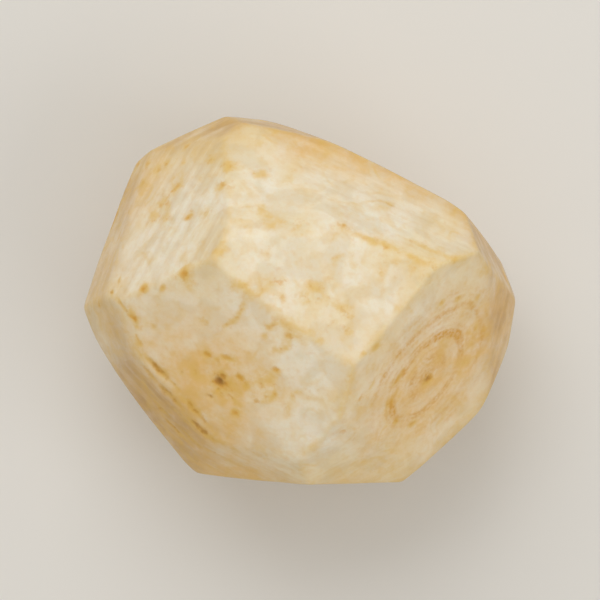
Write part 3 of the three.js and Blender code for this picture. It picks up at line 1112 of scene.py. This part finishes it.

# %% [markdown]
# ## Tan flesh, flesh near the skin, and painted shade on the sides
#
# Just under the skin the flesh is tan, and where the knife only just took the skin off it is brown. On the
# steep sides, round the rim and on the lower facets both are partly painted shade. The maps of warmth and
# of skin and shade say where. Alone they would look sprayed on, so a noise makes each of them cloudy. The
# brown also follows the knife's streaks, because a stroke doesn't go equally deep all across its width.

# %% Tan flesh and flesh near the skin
# The tan is partly painted shade on the steep sides and the lower facets.
tan_and_shade_cloud = add(tree, "ShaderNodeMapRange", (), {"Value": noise["blotches"], "From Min": 0.3,
                                                 "From Max": 0.7, "To Min": 0.6, "To Max": 1.4})
tan_and_shade_share = add(tree, "ShaderNodeMath", {"operation": "MULTIPLY", "use_clamp": True},
                {0: read["warmth_and_shade"], 1: tan_and_shade_cloud})
# The brown near the skin is also painted shade on the steep sides and round the rim.
skin_and_shade_cloud = add(tree, "ShaderNodeMapRange", (), {"Value": noise["skin"], "From Min": 0.34,
                                                  "From Max": 0.64, "To Min": 0.45, "To Max": 1.4})
skin_and_shade_lines = add(tree, "ShaderNodeMapRange", (), {"Value": streaks, "From Min": 0.36,
                                                  "From Max": 0.64, "To Min": 0.84, "To Max": 1.14})
skin_and_shade_broken = add(tree, "ShaderNodeMath", {"operation": "MULTIPLY"}, {0: skin_and_shade_cloud, 1: skin_and_shade_lines})
skin_and_shade_share = add(tree, "ShaderNodeMath", {"operation": "MULTIPLY", "use_clamp": True},
                 {0: read["near_skin_and_shade"], 1: skin_and_shade_broken})
print("tan and near-skin flesh:", len(tree.nodes), "nodes so far")

# %% [markdown]
# ## Putting the layers together
#
# Each layer is mixed over the cream with its own pigment, the broad and pale ones first: soaked flesh, the
# knife's pale lines, tan and near-skin flesh with their painted shade on the sides, the knife's dark lines,
# grain and mottles, ochre along the ridges, blotches and flecks, wisps, rings, stains, and the brown of the
# pits last. Mixing, unlike multiplying, never lets two layers turn the flesh darker than the darker
# pigment.

# %% Mix the colours
# The tan pigment is the flesh's own tan, and also painted shade on the steep sides and the lower facets.
TAN_FLESH_AND_SHADE = "#EAB960"
OCHRE = "#DAA141"
PALE_OCHRE = "#E4BA58"
PIT_BROWN = "#95642B"
# The near-skin brown pigment is also painted shade on the rim.
NEAR_SKIN_AND_SHADE = "#BA8530"
STREAK_TINT = "#D0A560"
SOAKED_FLESH = "#D3BD92"
# Each layer: where it lies, its greatest strength, its pigment.
LAYERS_OF_COLOUR = [
    (soaked, 0.3, SOAKED_FLESH),
    (pale_share, 0.5, DEEP_FLESH),
    (tan_and_shade_share, 0.78, TAN_FLESH_AND_SHADE),
    (skin_and_shade_share, 0.72, NEAR_SKIN_AND_SHADE),
    (dark_share, 0.38, STREAK_TINT),
    (grain_share, 0.5, PALE_OCHRE),
    (mottles, 0.18, PALE_OCHRE),
    (ridge, 0.22, PALE_OCHRE),
    (blotches, 0.7, PALE_OCHRE),
    (flecks, 0.45, OCHRE),
    (wisps, 0.6, PALE_OCHRE),
    (rings, 0.9, OCHRE),
    (stain, 0.9, OCHRE),
    (pit, 0.9, PIT_BROWN),
]

colour = cream
for share, most, pigment in LAYERS_OF_COLOUR:
    amount = add(tree, "ShaderNodeMath", {"operation": "MULTIPLY"}, {0: share, 1: most})
    colour = add(tree, "ShaderNodeMix", {"data_type": "RGBA"},
                 {0: amount, 6: colour, 7: linear(pigment)}).outputs[2]
print(len(LAYERS_OF_COLOUR), "layers of colour over the cream")

# %% [markdown]
# ## Wet cut flesh
#
# The same patterns lift or sink the surface by a few hundredths of a millimetre. That is too little for
# the mesh, so it goes into the bump: streaks and grain stand up, and rings and stains, which dry first,
# sink. The roughness follows the grain, because wet cells stand beside dry ones, and over it all lies
# the smoother film of juice.

# %% Bump, gloss and the shader
# What each pattern adds to the height, and what a height of 1 is worth in mm.
STREAK_RISE = 1.2
RISES = [(noise["grain"], 0.5), (rings, -0.5), (stain, -0.4)]
BUMP_HEIGHT = 0.05
# How far light goes into the flesh, in mm.
LIGHT_DEPTH = 2.5
WATER_IOR = 1.33

height = add(tree, "ShaderNodeMath", {"operation": "MULTIPLY"}, {0: streaks, 1: STREAK_RISE})
for pattern, rise in RISES:
    height = add(tree, "ShaderNodeMath", {"operation": "MULTIPLY_ADD"}, {0: pattern, 1: rise, 2: height})
bump = add(tree, "ShaderNodeBump", (), {"Height": height, "Strength": 1.0, "Distance": BUMP_HEIGHT * MM})
roughness = add(tree, "ShaderNodeMapRange", (), {"Value": noise["grain"], "From Min": 0.3,
                                                 "From Max": 0.7, "To Min": 0.38, "To Max": 0.56})
shader = add(tree, "ShaderNodeBsdfPrincipled", (), {
    "Base Color": colour,
    "Roughness": roughness,
    "Normal": bump,
    "IOR": 1.42,
    "Specular IOR Level": 0.3,
    "Subsurface Weight": 0.3,
    "Subsurface Radius": (1.0, 0.75, 0.45),
    "Subsurface Scale": LIGHT_DEPTH * MM,
    "Coat Weight": 0.35,
    "Coat Roughness": 0.14,
    "Coat IOR": WATER_IOR,
})
add(tree, "ShaderNodeOutputMaterial", (), {"Surface": shader})
mesh.materials.append(material)
print("material with", len(tree.nodes), "nodes")

# %% [markdown]
# ## The floor
#
# The root stands on a plain pale floor, one flat square of matte paint, so wide that its edge is out of
# sight from above.

# %% Floor
FLOOR_SIZE = 8.0
FLOOR_PAINT = "#E4E1DB"


def matte(name, hex_code):
    """A plain matte paint for the floor."""
    paint = bpy.data.materials.new(name)
    paint.use_nodes = True
    paint.node_tree.nodes.clear()
    shader = add(paint.node_tree, "ShaderNodeBsdfPrincipled", (),
                 {"Base Color": linear(hex_code), "Roughness": 0.9, "Specular IOR Level": 0.2})
    add(paint.node_tree, "ShaderNodeOutputMaterial", (), {"Surface": shader})
    return paint


corner = FLOOR_SIZE / 2
floor_corners = [(-corner, -corner, 0), (corner, -corner, 0), (corner, corner, 0), (-corner, corner, 0)]
floor_mesh = bpy.data.meshes.new("studio_floor")
floor_mesh.from_pydata(floor_corners, [], [(0, 1, 2, 3)])
floor_mesh.materials.append(matte("floor_paint", FLOOR_PAINT))
floor = bpy.data.objects.new("studio_floor", floor_mesh)
bpy.context.scene.collection.objects.link(floor)
print("floor", FLOOR_SIZE, "m square")

# %% [markdown]
# ## The light
#
# Cut flesh shows its facets best in one large soft light from behind and above. A second one straight
# overhead keeps the top bright, and a third fills the shade in front. The room round them is a plain pale
# glow, which softens the shadows on the floor.

# %% Lights
ROOM_COLOUR = "#F8F6F2"
ROOM_LIGHT = 0.53

world = bpy.data.worlds.new("studio_room")
bpy.context.scene.world = world
world.use_nodes = True
world.node_tree.nodes.clear()
room = add(world.node_tree, "ShaderNodeBackground", (),
           {"Color": linear(ROOM_COLOUR), "Strength": ROOM_LIGHT})
add(world.node_tree, "ShaderNodeOutputWorld", (), {"Surface": room})


def soft_light(name, azimuth, elevation, away, size, power):
    """A square area light that faces the root, at that azimuth, elevation and distance in metres."""
    lamp = bpy.data.lights.new(name, "AREA")
    lamp.shape = "SQUARE"
    lamp.size = size
    lamp.energy = power
    light = bpy.data.objects.new(name, lamp)
    bpy.context.scene.collection.objects.link(light)
    light.location = MIDDLE * MM + direction(azimuth, elevation) * away
    light.rotation_euler = (math.radians(90 - elevation), 0, math.radians(azimuth + 90))
    print(name, "of", power, "W,", away, "m away")


soft_light("key_softbox", azimuth=107, elevation=52, away=1.0, size=0.75, power=3.98)
soft_light("overhead_softbox", azimuth=100, elevation=86, away=1.6, size=1.2, power=1.5)
soft_light("fill_softbox", azimuth=-30, elevation=42, away=1.2, size=0.9, power=2.9)

# %% [markdown]
# ## The camera
#
# The camera looks straight down from far enough away that the sides don't lean in. The lens follows from
# similar triangles: the width of the film is to the focal length as the width of the view is to the
# distance, taken at the middle of the root.

# %% Camera
# In metres: the camera's height above the floor, the width of its view at the middle of the root, and
# the distance past which it sees nothing.
CAMERA_HEIGHT = 1.2
FRAME_WIDTH = 0.148
FAR_LIMIT = 20.0
# In mm.
FILM_WIDTH = 36.0

lens = bpy.data.cameras.new("overhead_camera")
lens.sensor_width = FILM_WIDTH
lens.lens = FILM_WIDTH * (CAMERA_HEIGHT - MIDDLE[2] * MM) / FRAME_WIDTH
lens.clip_end = FAR_LIMIT
camera = bpy.data.objects.new("overhead_camera", lens)
camera.location = (0.0, 0.0, CAMERA_HEIGHT)
bpy.context.scene.collection.objects.link(camera)
bpy.context.scene.camera = camera
bpy.context.scene.view_settings.view_transform = "Standard"
print("lens", round(lens.lens), "mm")
